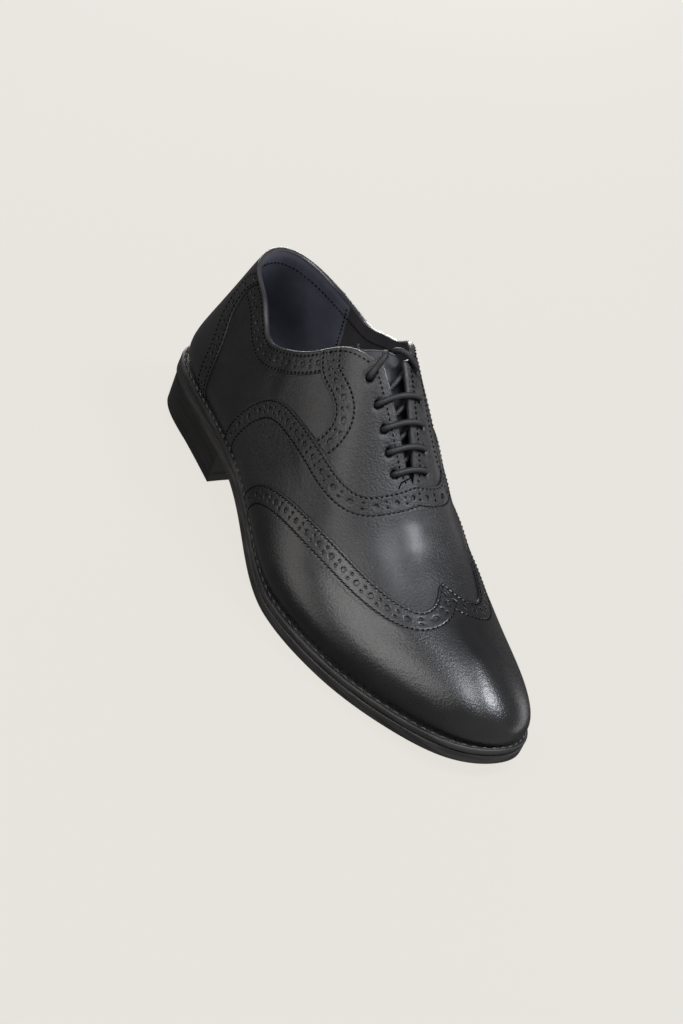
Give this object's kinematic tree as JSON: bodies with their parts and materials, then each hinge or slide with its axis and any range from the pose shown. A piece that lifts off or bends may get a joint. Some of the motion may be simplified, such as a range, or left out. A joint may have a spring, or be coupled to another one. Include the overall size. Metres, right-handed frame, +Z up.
{
  "type": "brogue shoe",
  "caption": "Right men's full brogue shoe in smooth black leather with closed lacing, welted leather sole, stacked heel and hollow upper",
  "frame": {"origin": "centre of the outer box in plan, on the floor plane under heel and tread", "axes": "+X from heel to toe, +Y to the wearer's left, which is the medial side of this right shoe, +Z up"},
  "size_m": [0.3006, 0.1092, 0.1212],
  "materials": {
    "upper_leather": "smooth polished black calf leather with fine grain, punched and stitched",
    "tongue_leather": "soft black leather",
    "lining_leather": "matt blue-black lining leather",
    "welt_leather": "waxed black welt with a stitched groove",
    "sole_leather": "black waxed sole edge over a worn leather underside",
    "heel_stack": "black waxed leather stack",
    "lace_cotton": "round braided waxed cotton"
  },
  "bodies": {
    "root": {"upper": "upper_leather", "tongue": "tongue_leather", "insole": "lining_leather", "welt": "welt_leather", "outsole": "sole_leather", "heel": "heel_stack", "lace": "lace_cotton"}
  },
  "joints": []
}
